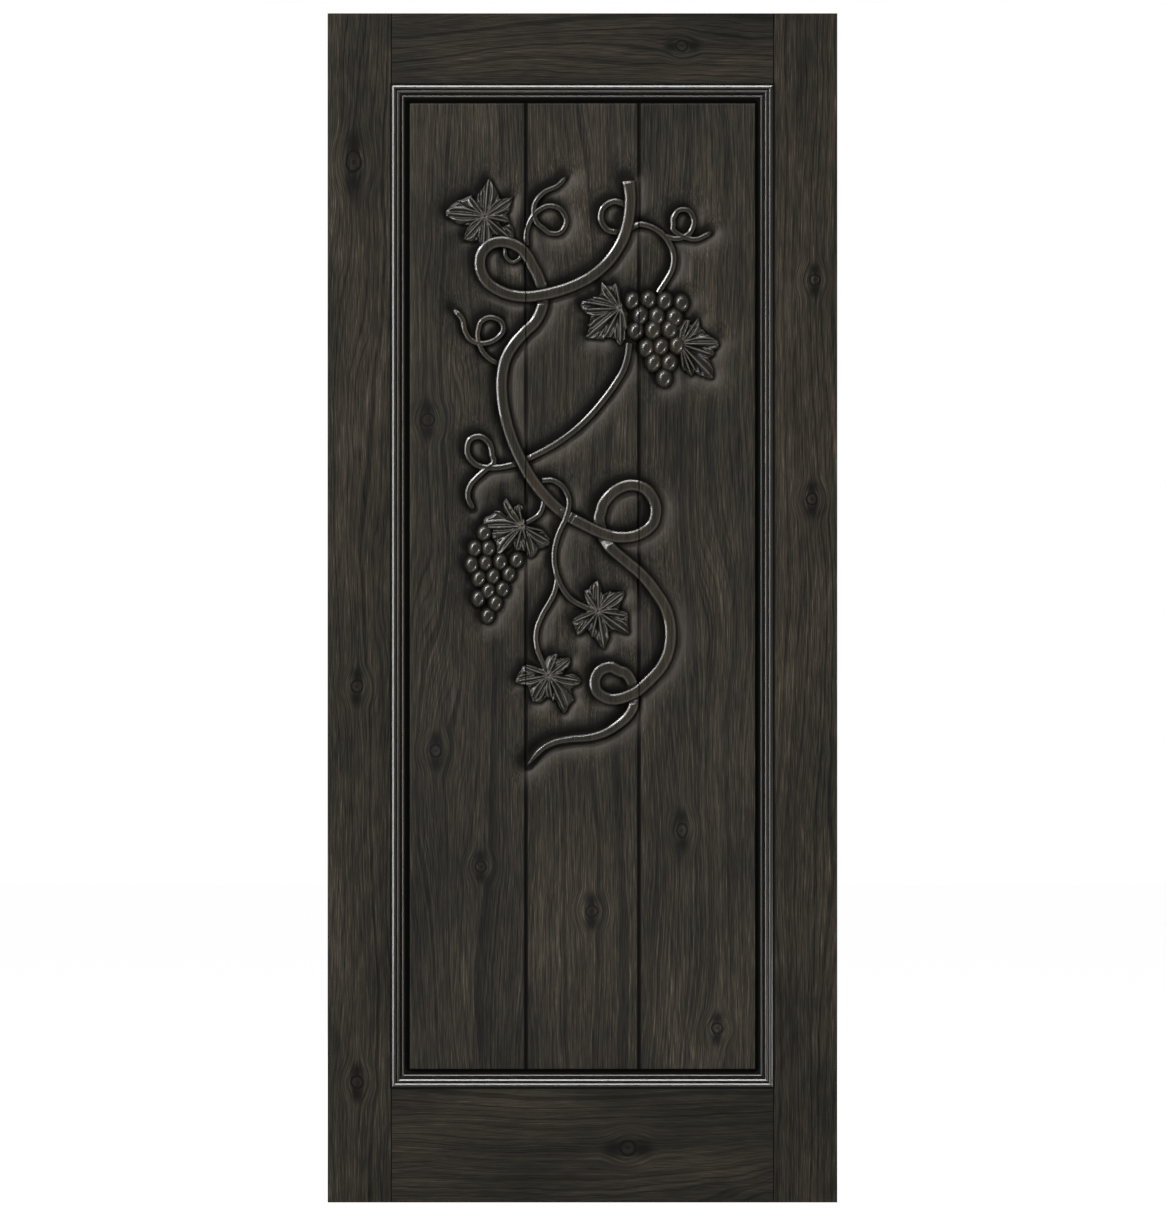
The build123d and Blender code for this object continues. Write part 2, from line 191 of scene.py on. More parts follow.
def bow_round_knots(n, across, along, upright, knots):
    """The grain's lines, bowed out round each knot, and how many knot radii each place is from
    the nearest knot and from the smudges past its ends."""
    bowed, nearest, smudge = across, beyond_knots, beyond_knots
    for knot_x, knot_z, radius, stretch in knots:
        knot_across, knot_along = (knot_x, knot_z) if upright else (knot_z, knot_x)
        off_across = n.minus(across, knot_across * MM)
        off_along = n.minus(along, knot_along * MM)
        side = n.math("DIVIDE", off_across, radius * MM)
        end = n.math("DIVIDE", off_along, radius * stretch * MM)
        away = n.length(side, end)
        push = n.remap(away, 0.5, 4.2, 0.82, 0.0)
        bowed = n.minus(bowed, n.times(off_across, push))
        nearest = n.math("MINIMUM", nearest, away)
        beyond = n.minus(n.math("ABSOLUTE", end), 1.75)
        smudge = n.math("MINIMUM", smudge, n.length(side, n.times(beyond, 0.8)))
    return bowed, nearest, smudge


def stain_knots(n, colour, height, ragged, smudge):
    """Each knot's smudges, heart, dark rim and core, with the rim and core sunk."""
    heart = n.remap(ragged, 1.0, 0.75)
    rim = n.times(n.remap(ragged, 0.68, 0.86), n.remap(ragged, 1.18, 0.98))
    core = n.remap(ragged, 0.34, 0.1)
    colour = n.tint(colour, n.remap(smudge, 1.7, 0.1), 0.95, (7, 6, 5))
    colour = n.tint(colour, heart, 0.45, (30, 24, 18))
    colour = n.tint(colour, rim, 1.0, darkest)
    colour = n.tint(colour, core, 0.85, (11, 9, 8))
    for sunk, depth in ((rim, 2.2), (core, 1.5)):
        height = n.minus(height, n.times(sunk, depth))
    return colour, height


def seams_and_crease_shade(n, colour, x, across, along, upright, crease):
    """The dark seams between stiles and rails, and painted shade along the crease beside the
    mouldings.
    """
    for seam in (opening_left, opening_right):
        beside = n.math("ABSOLUTE", n.minus(x, seam * MM))
        colour = n.tint(colour, n.remap(beside, 0.0013, 0.0007), 0.9, (5, 5, 4))
    low, high = (opening_bottom, opening_top) if upright else (opening_left, opening_right)
    beside = n.math("ABSOLUTE", n.minus(across, crease * MM))
    beyond = n.math("MAXIMUM", n.minus(low * MM, along), n.minus(along, high * MM))
    shadow = n.times(n.remap(beside, 0.0042, 0.0012), n.remap(beyond, 0.004, 0.0))
    return n.tint(colour, shadow, 0.93, darkest)


def wood(name, upright=True, knots=(), seed=0.0, lift=1.0, warmth=1.4, gloss=0.38, figure=1.0,
         shine=0.1, crease=None, carved=False, fibres=1.8, relief=0.3):
    """Stained alder: growth figure along the grain, fine streaks, pores and knots, with painted
    shade in hollows and painted highlight on carved pieces.

    lift and warmth set its tone, gloss and shine its sheen, and figure, fibres and relief how
    strongly the grain shows. crease is the opening's side that a frame piece lies along.
    """
    n = Material(name)
    place = n.add("ShaderNodeTexCoord").outputs["Object"]
    split = n.add("ShaderNodeSeparateXYZ")
    n.fill(split, place)
    x, y, z = split.outputs
    across, along = (x, z) if upright else (z, x)
    bowed, nearest, smudge = bow_round_knots(n, across, along, upright, knots)

    def grain(waves, shift=0.0, lines=bowed):
        through = n.scaled(y, waves[1], shift)
        return n.combine(n.times(lines, waves[0]), through, n.times(along, waves[2]))

    # Growth figure: bands of uneven width whose lines wander along the grain
    slow = n.noise(grain(slow_waves, seed), roughness=0.4)
    ripple = n.noise(grain(ripple_waves, seed + 3.0))
    rings = n.scaled(slow, 0.17 * figure, bowed)
    rings = n.scaled(ripple, 0.006 * figure, rings)
    rings = n.plus(rings, seed)
    bands = n.noise(rings, band_waves, roughness=0.6, line=True)
    contours = n.minus(n.noise(rings, contour_waves, 0.0, line=True), 0.5)
    thin = n.remap(n.math("ABSOLUTE", contours), 0.07, 0.015)

    fibre = n.noise(grain(fibre_waves), detail=3.0, roughness=0.65)
    pores = n.remap(n.noise(grain(pore_waves), detail=1.0), 0.66, 0.78)
    cloud = n.noise(grain(cloud_waves, seed, across), detail=3.0, roughness=0.6)

    value = n.scaled(bands, band_share, stain_start)
    for noise, share in ((fibre, fibres), (cloud, cloud_share)):
        value = n.plus(value, n.scaled(noise, share, -0.5 * share))
    for marks, share in ((thin, contour_share), (pores, pore_share)):
        value = n.minus(value, n.times(marks, share))

    def shade(level):
        red = level * (1.0 + 0.06 * warmth) * lift
        return tone(red, level * lift, level * (1.0 - 0.11 * warmth) * lift)

    colour = n.ramp(value, [(position, shade(level)) for position, level in stain_levels])
    height = n.scaled(fibre, 0.6, n.times(bands, 0.5))
    height = n.minus(height, n.times(pores, 0.5))
    rough = n.scaled(fibre, 0.4 * gloss, 0.8 * gloss)
    if knots:
        wobble = n.scaled(n.noise(place, knot_waves, 1.0), 0.3, -0.15)
        colour, height = stain_knots(n, colour, height, n.plus(nearest, wobble), smudge)
    if crease is not None:
        colour = seams_and_crease_shade(n, colour, x, across, along, upright, crease)
    if carved:
        # Painted shade in the hollows, and painted highlight, with some wear, on ridges and
        # shoulders
        hollow_shade = n.attribute("hollow_shade")
        colour = n.tint(colour, hollow_shade, 0.97, darkest)
        colour = n.tint(colour, n.attribute("wear_and_highlight"), 0.75, highlight_and_wear_colour)
        rough = n.scaled(hollow_shade, 0.35, rough)
    n.put(colour, n.shader.inputs["Base Color"])
    n.put(n.math("ADD", rough, 0.0, clamp=True), n.shader.inputs["Roughness"])
    n.shader.inputs["Specular IOR Level"].default_value = shine
    bump = n.add("ShaderNodeBump")
    for label, value in (("Strength", 0.5), ("Distance", relief * MM), ("Height", height)):
        n.put(value, bump.inputs[label])
    n.put(bump.outputs[0], n.shader.inputs["Normal"])
    return n.material


# Knots: X, Z, half width across the grain, and length for its width. Each board's ends across
# come first, and each frame piece has the opening's side that it lies along and its wood.
planks = {
    "left_plank": (opening_left - panel_reach, joints_x[0],
                   [(180, 1404, 12, 1.0), (194, 810, 11, 1.1), (275, 602, 10.5, 1.0)]),
    "middle_plank": (*joints_x, [(474, 522, 11.5, 1.0)]),
    "right_plank": (joints_x[1], opening_right + panel_reach,
                    [(636, 667, 10, 1.35), (699, 312, 10.5, 1.0)]),
}
frame_finishes = {
    "left_stile": ([(47, 1867, 13.5, 1.5), (53, 926, 11, 1.1), (53, 216, 11, 1.1)],
                   opening_left, dict(seed=3.1, lift=1.24)),
    "right_stile": ([(874, 1655, 10.5, 1.0), (869, 1262, 10.5, 1.1)],
                    opening_right, dict(seed=5.8, lift=1.32)),
    "top_rail": ([(636, 2075, 10, 1.1)],
                 opening_top, dict(seed=8.3, lift=1.17, figure=1.2, fibres=1.2)),
    "bottom_rail": ([(539, 98, 14, 1.05)],
                    opening_bottom, dict(seed=10.2, lift=1.17, figure=1.2, fibres=1.2)),
}
for name, (knots, crease, settings) in frame_finishes.items():
    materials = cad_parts[name].data.materials
    materials.clear()
    materials.append(wood(f"{name}_wood", name.endswith("stile"), knots, crease=crease,
                          **settings))


def new_object(name, data):
    item = bpy.data.objects.new(name, data)
    bpy.context.scene.collection.objects.link(item)
    return item


def new_piece(name, vertices, faces, material, hollow_shade=None, wear_and_highlight=None, sharp=32.0, slots=()):
    """A mesh object in the door's frame, with the painted shade and the painted highlight or wear
    at each vertex.
    """
    mesh = bpy.data.meshes.new(name)
    mesh.from_pydata(vertices, [], faces)
    for label, values in (("hollow_shade", hollow_shade), ("wear_and_highlight", wear_and_highlight)):
        layer = mesh.attributes.new(label, "FLOAT", "POINT")
        if values is not None:
            layer.data.foreach_set("value", np.asarray(values, np.float32))
    mesh.materials.append(material)
    mend(mesh, sharp, slots)
    return new_object(name, mesh)


def mend(mesh, sharp, slots):
    """Cuts slots at the boards' joints, and smooths all but the edges over sharp degrees."""
    work = bmesh.new()
    work.from_mesh(mesh)
    # Outward before the cuts too, as the faces that fill them follow their neighbours
    bmesh.ops.recalc_face_normals(work, faces=work.faces[:])
    for x in slots:
        low, high = (x - joint_slot / 2) * MM, (x + joint_slot / 2) * MM
        for cut in (low, high):
            bmesh.ops.bisect_plane(work, geom=work.verts[:] + work.edges[:] + work.faces[:],
                                   dist=1e-7, plane_co=(cut, 0, 0), plane_no=(1, 0, 0))
        within = [f for f in work.faces if low < f.calc_center_median().x < high]
        bmesh.ops.delete(work, geom=within, context="FACES")
        bmesh.ops.holes_fill(work, edges=[e for e in work.edges if e.is_boundary], sides=0)
    bmesh.ops.recalc_face_normals(work, faces=work.faces[:])
    work.to_mesh(mesh)
    work.free()
    mesh.shade_smooth()
    mesh.set_sharp_from_angle(angle=math.radians(sharp))


def quads(rows):
    """The faces between rows of vertex numbers."""
    rows = rows.tolist()
    return [face for low, high in zip(rows, rows[1:])
            for face in zip(low, low[1:], high[1:], high)]


def tube(first, rings, count):
    """The faces of a closed tube, whose rings have count vertices each, numbered from first."""
    numbers = first + np.arange(rings * count).reshape(rings, count)
    ends = [numbers[0].tolist(), numbers[-1, ::-1].tolist()]
    return quads(np.column_stack([numbers, numbers[:, 0]])) + ends


def shine_toward_lamps(piece, shiny, wanted=None, steep=0.84, flat=0.958, least=0.28, rim=False):
    """Faces turned toward the lamps at the top left get the shinier copy, for highlights there.

    Their normals point forward by steep to flat, and toward the top left by least or more.
    With rim, a narrow band toward the lower right, facing the low lamp, gets it too.
    """
    piece.data.materials.append(shiny)
    for face in piece.data.polygons:
        x, y, z = face.normal
        highlighted = -flat < y < -steep and z - x > least
        highlighted = highlighted or rim and -0.93 < y < -0.84 and x - z > 0.52
        if highlighted and (wanted is None or wanted(face.center)):
            face.material_index = 1
    return piece


def dress(piece, node):
    """The piece stands for the part's node and rides with the door."""
    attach(piece, "root")
    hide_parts(node)


# The vine's centre lines, across from the panel's middle and down from the boards' top.
# Each run is one smooth line, cut into its strands at the points that they share.
main_run = [
    ("upper_vine_stem",
     [(83, 140), (86, 172), (83, 206), (75, 237), (60, 266), (40, 291), (14, 312), (-15, 327),
      (-44, 337), (-74, 344), (-105, 347), (-138, 341), (-168, 324), (-183, 298), (-181, 270),
      (-163, 252), (-138, 249), (-113, 259), (-98, 276), (-90, 291)]),
    ("middle_vine_stem",
     [(-90, 291), (-80, 310), (-72, 335), (-72, 364), (-84, 391), (-104, 411), (-124, 434),
      (-139, 462), (-145, 496), (-144, 530), (-138, 566), (-124, 610), (-100, 660), (-74, 697),
      (-38, 733), (2, 756), (42, 774), (72, 779), (103, 773), (127, 753), (131, 722),
      (115, 694), (86, 685), (58, 696), (38, 718), (33, 734)]),
    ("lower_vine_stem",
     [(33, 734), (30, 744), (34, 768), (49, 796), (78, 822), (107, 847), (130, 875), (150, 908),
      (158, 944), (155, 981), (142, 1011), (119, 1037), (92, 1059), (57, 1070), (30, 1060),
      (22, 1040), (30, 1020), (49, 1012), (66, 1019)]),
    ("vine_stem_tip",
     [(66, 1019), (80, 1025), (90, 1045), (92, 1078), (82, 1099), (63, 1116), (40, 1130),
      (12, 1138), (-22, 1141), (-52, 1147), (-77, 1162), (-99, 1188)]),
]
tendril_runs = {
    "upper_left_tendril": [
        [(-100, 255), (-101, 234), (-94, 211), (-81, 194), (-61, 184), (-40, 190), (-29, 211),
         (-39, 231), (-58, 233), (-72, 223)],
        [(-72, 223), (-82, 214), (-88, 196), (-84, 176), (-68, 159), (-45, 148), (-29, 132)]],
    "upper_grape_stalk": [
        [(80, 183), (57, 176), (37, 188), (33, 209), (45, 227), (66, 231), (86, 224), (104, 217),
         (128, 224), (150, 242), (163, 270), (160, 300), (136, 340)]],
    "right_tendril": [
        [(146, 238), (170, 243), (192, 233), (200, 212), (191, 193), (173, 192), (163, 206),
         (163, 217)],
        [(163, 217), (163, 227), (178, 238), (204, 244), (232, 231)]],
    "left_tendril": [
        [(-231, 370), (-216, 387), (-211, 408), (-200, 425), (-180, 431), (-158, 425),
         (-143, 409), (-146, 392), (-165, 384), (-181, 391), (-186, 402)],
        [(-186, 402), (-188, 420), (-180, 444), (-162, 462), (-138, 470)]],
    "long_branch": [
        [(84, 431), (80, 458), (68, 489), (34, 537), (-4, 578), (-46, 610), (-86, 632),
         (-124, 648), (-158, 654), (-188, 650), (-206, 630), (-203, 605), (-184, 598),
         (-167, 611), (-162, 632)],
        [(-162, 632), (-160, 646), (-177, 660), (-200, 683), (-206, 706), (-196, 729)]],
    "lower_grape_stalk": [[(-70, 700), (-70, 718), (-78, 738), (-101, 753)]],
    "leaf_branch": [
        [(-72, 677), (-53, 677), (-34, 690), (-24, 714), (-30, 744), (-44, 775), (-51, 806),
         (-49, 836), (-39, 865), (-18, 892), (22, 912)]],
    "bottom_leaf_stalk": [
        [(-44, 850), (-52, 882), (-72, 918), (-83, 948), (-81, 980), (-64, 1020)]],
    "inner_curl": [[(-139, 256), (-138, 274), (-126, 285), (-113, 278), (-109, 264)]],
}
# Width at the start, width at the end and height of each, and what passes over it
strand_shapes = {
    "upper_vine_stem": (21.0, 21.0, 11.0, []),
    "middle_vine_stem": (21.0, 21.0, 11.0, ["upper_vine_stem", "leaf_branch"]),
    "lower_vine_stem": (21.0, 21.0, 11.0, ["middle_vine_stem"]),
    "vine_stem_tip": (21.0, 9.0, 10.5, ["lower_vine_stem"]),
    "upper_left_tendril": (9.6, 8.6, 7.0, ["upper_vine_stem"]),
    "upper_grape_stalk": (11.0, 10.0, 7.5, ["upper_vine_stem"]),
    "right_tendril": (9.6, 8.6, 7.0, ["upper_grape_stalk"]),
    "left_tendril": (9.6, 8.6, 7.0, ["middle_vine_stem"]),
    "long_branch": (12.0, 9.6, 7.5, ["middle_vine_stem"]),
    "lower_grape_stalk": (9.0, 8.0, 6.5, ["middle_vine_stem"]),
    "leaf_branch": (9.6, 9.6, 7.5, []),
    "bottom_leaf_stalk": (9.6, 8.6, 6.5, ["leaf_branch"]),
    "inner_curl": (6.6, 5.6, 5.5, ["upper_vine_stem"]),
}
# Each leaf's hub, outline and lobe tips, and each bunch's grape radius and middles
leaves = {
    "top_left_leaf": (
        (-175, 203),
        [(-168, 135), (-164, 138), (-157, 149), (-152, 159), (-149, 170), (-143, 171), (-136, 170),
         (-127, 167), (-123, 166), (-125, 170), (-127, 178), (-129, 187), (-130, 194), (-136, 199),
         (-133, 203), (-131, 211), (-131, 214), (-140, 216), (-149, 214), (-143, 222), (-131, 215),
         (-124, 224), (-122, 234), (-123, 242), (-126, 246), (-142, 243), (-150, 237), (-157, 241),
         (-159, 247), (-165, 253), (-179, 264), (-186, 252), (-187, 242), (-189, 246), (-198, 249),
         (-210, 246), (-214, 243), (-210, 232), (-208, 223), (-204, 219), (-215, 218), (-223, 217),
         (-233, 211), (-239, 206), (-245, 203), (-246, 194), (-242, 188), (-235, 181), (-226, 175),
         (-215, 171), (-207, 167), (-199, 164), (-196, 170), (-191, 173), (-189, 167), (-186, 159),
         (-179, 152), (-174, 145), (-171, 137)],
        [(-170, 137), (-125, 168), (-132, 213), (-128, 244), (-178, 262), (-212, 243), (-244, 197),
         (-201, 167)],
    ),
    "upper_bunch_left_leaf": (
        (68, 368),
        [(35, 319), (41, 326), (48, 328), (54, 326), (60, 322), (66, 330), (68, 335), (70, 351),
         (72, 360), (78, 366), (82, 377), (81, 386), (82, 399), (86, 403), (78, 407), (78, 413),
         (77, 422), (73, 431), (68, 435), (63, 431), (61, 425), (57, 422), (48, 421), (43, 420),
         (40, 425), (33, 424), (24, 423), (13, 423), (5, 419), (10, 410), (12, 402), (8, 398),
         (13, 393), (14, 386), (14, 381), (7, 377), (1, 372), (-3, 366), (-3, 360), (-1, 354),
         (7, 352), (15, 351), (20, 345), (30, 345), (32, 340), (33, 333), (33, 324)],
        [(36, 321), (60, 324), (1, 355), (2, 370), (7, 419), (37, 424), (68, 433)],
    ),
    "upper_bunch_right_leaf": (
        (176, 432),
        [(171, 404), (179, 391), (183, 388), (191, 388), (195, 390), (193, 398), (199, 395),
         (203, 389), (207, 385), (210, 388), (211, 398), (214, 405), (218, 406), (221, 412),
         (229, 417), (236, 421), (242, 425), (246, 430), (245, 436), (242, 441), (236, 443),
         (238, 450), (234, 454), (228, 457), (229, 464), (233, 471), (235, 481), (236, 490),
         (234, 495), (225, 494), (214, 490), (206, 486), (202, 482), (205, 476), (200, 484),
         (197, 490), (191, 487), (187, 481), (183, 480), (179, 477), (177, 472), (174, 452),
         (168, 430)],
        [(192, 390), (207, 387), (243, 431), (236, 452), (234, 492), (205, 484), (195, 488),
         (181, 477)],
    ),
    "lower_bunch_leaf": (
        (-108, 759),
        [(-137, 707), (-135, 709), (-130, 718), (-125, 726), (-124, 730), (-121, 723), (-114, 719),
         (-107, 723), (-106, 730), (-110, 733), (-107, 742), (-100, 753), (-99, 757), (-88, 759),
         (-77, 762), (-70, 766), (-65, 772), (-62, 777), (-58, 781), (-57, 789), (-61, 794),
         (-69, 798), (-77, 800), (-80, 803), (-82, 809), (-87, 814), (-93, 817), (-98, 814),
         (-100, 809), (-103, 805), (-113, 803), (-119, 805), (-122, 800), (-123, 792), (-125, 789),
         (-128, 796), (-134, 800), (-140, 802), (-142, 805), (-149, 814), (-154, 809), (-155, 799),
         (-156, 790), (-161, 781), (-164, 772), (-161, 766), (-187, 766), (-180, 759), (-178, 748),
         (-174, 742), (-166, 739), (-160, 735), (-156, 731), (-147, 731), (-142, 736), (-137, 741),
         (-135, 742), (-140, 733), (-143, 725), (-144, 718)],
        [(-138, 708), (-114, 721), (-180, 762), (-150, 812), (-120, 803), (-93, 815), (-58, 788),
         (-68, 768)],
    ),
    "middle_leaf": (
        (28, 912),
        [(28, 856), (30, 860), (34, 869), (35, 877), (37, 881), (47, 877), (49, 874), (54, 877),
         (65, 877), (75, 875), (76, 883), (72, 892), (69, 897), (66, 905), (66, 910), (76, 911),
         (82, 915), (83, 924), (82, 931), (83, 941), (85, 949), (84, 953), (77, 953), (66, 949),
         (57, 946), (51, 948), (47, 950), (49, 958), (46, 965), (42, 974), (39, 981), (34, 977),
         (28, 968), (23, 961), (21, 958), (17, 959), (15, 956), (14, 949), (11, 948), (9, 943),
         (3, 949), (-2, 955), (-8, 955), (-10, 953), (-13, 945), (-15, 938), (-19, 932), (-15, 925),
         (-8, 919), (-1, 915), (5, 914), (9, 910), (14, 906), (9, 900), (5, 889), (3, 878),
         (4, 874), (12, 871), (15, 865), (22, 859)],
        [(28, 858), (5, 876), (74, 877), (81, 920), (84, 951), (39, 979), (17, 957), (-7, 954),
         (-17, 931)],
    ),
    "bottom_leaf": (
        (-61, 1027),
        [(-71, 1010), (-67, 999), (-62, 992), (-55, 990), (-47, 987), (-43, 990), (-44, 996),
         (-40, 996), (-31, 995), (-23, 995), (-21, 1001), (-23, 1009), (-25, 1015), (-30, 1015),
         (-34, 1023), (-36, 1027), (-30, 1026), (-19, 1023), (-12, 1026), (-5, 1031), (-1, 1037),
         (-6, 1044), (-15, 1048), (-19, 1051), (-21, 1053), (-19, 1059), (-14, 1071), (-21, 1078),
         (-25, 1084), (-31, 1096), (-36, 1092), (-41, 1084), (-44, 1077), (-48, 1071), (-53, 1074),
         (-55, 1070), (-56, 1066), (-61, 1068), (-65, 1066), (-70, 1073), (-74, 1076), (-89, 1075),
         (-91, 1070), (-94, 1063), (-95, 1056), (-98, 1047), (-105, 1044), (-113, 1043),
         (-121, 1039), (-119, 1032), (-116, 1025), (-112, 1019), (-110, 1015), (-108, 1010),
         (-101, 1008), (-91, 1008), (-83, 1011), (-76, 1014)],
        [(-46, 990), (-23, 997), (-3, 1037), (-31, 1093), (-55, 1070), (-88, 1073), (-118, 1037),
         (-106, 1011)],
    ),
}
bunches = {
    "upper_grape_bunch": (
        15.4,
        [(90, 354), (119, 352), (148, 355), (178, 358), (104, 381), (134, 382), (165, 384),
         (96, 408), (127, 407), (157, 406), (115, 439), (141, 437), (170, 434), (128, 465),
         (156, 465), (147, 493)]),
    "lower_grape_bunch": (
        13.6,
        [(-177, 771), (-193, 799), (-169, 799), (-199, 828), (-174, 825), (-147, 823),
         (-118, 820), (-186, 853), (-160, 849), (-132, 845), (-169, 875), (-143, 872),
         (-187, 889), (-156, 897), (-170, 920)]),
}
grape_sink = 2.2


def smoothstep(value):
    value = np.clip(value, 0, 1)
    return value * value * (3 - 2 * value)


def spline(a, b, c, d, t):
    """A Catmull-Rom curve's place, the share t of the way from b to c."""
    return 0.5 * (2 * b + (c - a) * t + (2 * a - 5 * b + 4 * c - d) * t * t
                  + (3 * b - a - 3 * c + d) * t ** 3)


def smooth_line(points, step):
    """A smooth line through the points at about even steps, and each point's place on it."""
    pts = np.array(points, float)
    pts = np.vstack([2 * pts[0] - pts[1], pts, 2 * pts[-1] - pts[-2]])
    out, marks = [], []
    for a, b, c, d in zip(pts, pts[1:], pts[2:], pts[3:]):
        marks.append(len(out))
        count = max(2, int(round(np.linalg.norm(c - b) / step)))
        out += [spline(a, b, c, d, t) for t in np.arange(count) / count]
    marks.append(len(out))
    out.append(pts[-2])
    return np.array(out), marks


def from_point(points, point):
    """Distance of each point from one."""
    return np.hypot(*(points - point).T)


def gap_to(points, others, reach=0.0):
    """For each point, the distance to the nearest of the others, less what they reach."""
    at_once = 3000
    gaps = np.empty(len(points))
    for first in range(0, len(points), at_once):
        x, z = points[first:first + at_once, :, None].swapaxes(0, 1)
        far = np.hypot(x - others[:, 0], z - others[:, 1]) - reach
        gaps[first:first + at_once] = far.min(1)
    return gaps


def cut_line(parts, step):
    """One smooth line through parts that share their end points, cut back into the parts."""
    line, marks = smooth_line([p for i, pts in enumerate(parts) for p in pts[(i > 0):]], step)
    cuts = [0]
    for pts in parts:
        cuts.append(cuts[-1] + len(pts) - 1)
    return [line[marks[a]:marks[b] + 1] for a, b in zip(cuts, cuts[1:])]


stem_lines = cut_line([pts for _, pts in main_run], 2.0)
strands = {name: [line] for (name, _), line in zip(main_run, stem_lines)}
strands.update((name, cut_line(parts, 1.6)) for name, parts in tendril_runs.items())


def whole_section(half):
    """A strand's section in shares of half its width and of its height, from its right half."""
    return [(-u, v) for u, v in half] + [(0.0, 1.0)] + half[::-1]


# Round at the sides, with a flat on each shoulder that catches the light
stem_section = whole_section([(1.0, 0.0), (1.0, 0.35), (0.98, 0.54), (0.93, 0.70), (0.85, 0.81),
                              (0.60, 0.905), (0.43, 0.952), (0.25, 0.985), (0.10, 1.0)])
tendril_section = whole_section([(1.0, 0.0), (1.0, 0.35), (0.98, 0.56), (0.93, 0.73),
                                 (0.85, 0.83), (0.58, 0.905), (0.40, 0.953), (0.22, 0.985),
                                 (0.08, 1.0)])


def carved_place(point, level):
    """A place on the panel, at a level over the boards' face, in the door's metres."""
    x, z = on_panel(point)
    return x * MM, -(plank_face + level) * MM, z * MM


def dipped(part, crossings):
    """The share of its height that a strand keeps along its way, less where others cross it."""
    kept = np.ones(len(part))
    for lines, width in crossings:
        other = np.vstack(lines)
        for end in (part[0], part[-1]):
            if from_point(other, end).min() < 2.5:  # one runs on from the other here
                other = other[from_point(other, end) > 34]
        if len(other):
            near = 1 - smoothstep((gap_to(part, other) - width * 0.35) / 13)
            kept = np.minimum(kept, 1 - 0.62 * near)
    return kept


def taper(widths, kept, from_end, length, least_width, least_height):
    """The widths and heights with a point at a free end, over the length given."""
    fade = np.clip(from_end / length, 0, 1) ** 0.6
    return (widths * (least_width + (1 - least_width) * fade),
            kept * (least_height + (1 - least_height) * fade))


def strand_piece(name, material):
    """One carved strand in its parts, each a closed tube that reaches into the boards."""
    start_width, end_width, height, crossed_by = strand_shapes[name]
    section = stem_section if height > 8 else tendril_section
    section = [(-1.0, -skirt / height)] + section + [(1.0, -skirt / height)]
    vertices, faces, hollow_shade, wear_and_highlight = [], [], [], []
    parts = strands[name]
    total = sum(len(part) for part in parts)
    done = 0
    for number, part in enumerate(parts):
        crossings = [(strands[other], strand_shapes[other][0]) for other in crossed_by]
        if number:
            crossings.append(([parts[0]], start_width))
        kept = dipped(part, crossings)
        share = (done + np.arange(len(part))) / total
        done += len(part)
        widths = start_width + (end_width - start_width) * share
        from_start, to_end = from_point(part, part[0]), from_point(part, part[-1])
        if name == "upper_vine_stem":
            # Its sawn top end flares a little
            widths = widths * (1 + 0.22 * np.exp(-from_start / 9))
            kept = kept * (1 - 0.135 * np.clip(1 - from_start / 4.2, 0, 1))
        if name == "vine_stem_tip" or number:
            length = 26 if name == "vine_stem_tip" else 9
            widths, kept = taper(widths, kept, to_end, length, 0.25, 0.35)
        if name == "left_tendril" and not number:
            widths, kept = taper(widths, kept, from_start, 10, 0.45, 0.5)
        ways = np.gradient(part, axis=0)
        ways /= np.linalg.norm(ways, axis=1)[:, None]
        first = len(vertices)
        for (px, pz), (wx, wz), width, rise in zip(part, ways, widths, kept):
            for u, v in section:
                level = v * height * (rise if v > 0 else 1)
                place = (px + wz * u * width / 2, pz - wx * u * width / 2)
                vertices.append(carved_place(place, level))
                # Painted shade low on the sides and where another strand passes over, and painted
                # highlight, with some wear, on the shoulders
                hollow_shade.append(max(0.0, 1 - v * 1.15) + (1 - rise) * 0.9)
                wear_and_highlight.append(0.15 if 0.8 < v < 0.95 and rise > 0.84 else 0.0)
        faces += tube(first, len(part), len(section))
    hollow_shade = np.clip(hollow_shade, 0, 1)
    return new_piece(name, vertices, faces, material, hollow_shade, wear_and_highlight, 13.0, joints_x)


def inside(points, outline):
    """Which of the points lie within the outline."""
    hits = np.zeros(len(points), bool)
    x, y = points[:, 0], points[:, 1]
    for (x0, y0), (x1, y1) in zip(outline, np.roll(outline, -1, axis=0)):
        if y0 != y1:
            crosses = (y0 > y) != (y1 > y)
            hits ^= crosses & (x < (x1 - x0) * (y - y0) / (y1 - y0) + x0)
    return hits


def to_segment(points, start, end):
    """Distance of each point from the run, and how far along it the nearest place is."""
    run = end - start
    share = np.clip(((points - start) @ run) / max(run @ run, 1e-9), 0, 1)
    return np.hypot(*(points - start - share[:, None] * run).T), share


def leaf_outline(outline, step=1.3):
    """The outline at even steps, halfway between its straight runs and a smooth line."""
    pts = np.array(outline, float)
    out = []
    for a, b, c, d in zip(np.roll(pts, 1, 0), pts, np.roll(pts, -1, 0), np.roll(pts, -2, 0)):
        count = max(1, int(round(np.linalg.norm(c - b) / step)))
        for t in np.arange(count) / count:
            out.append(0.5 * spline(a, b, c, d, t) + 0.5 * (b + (c - b) * t))
    return np.array(out)


leaf_step = 1.35


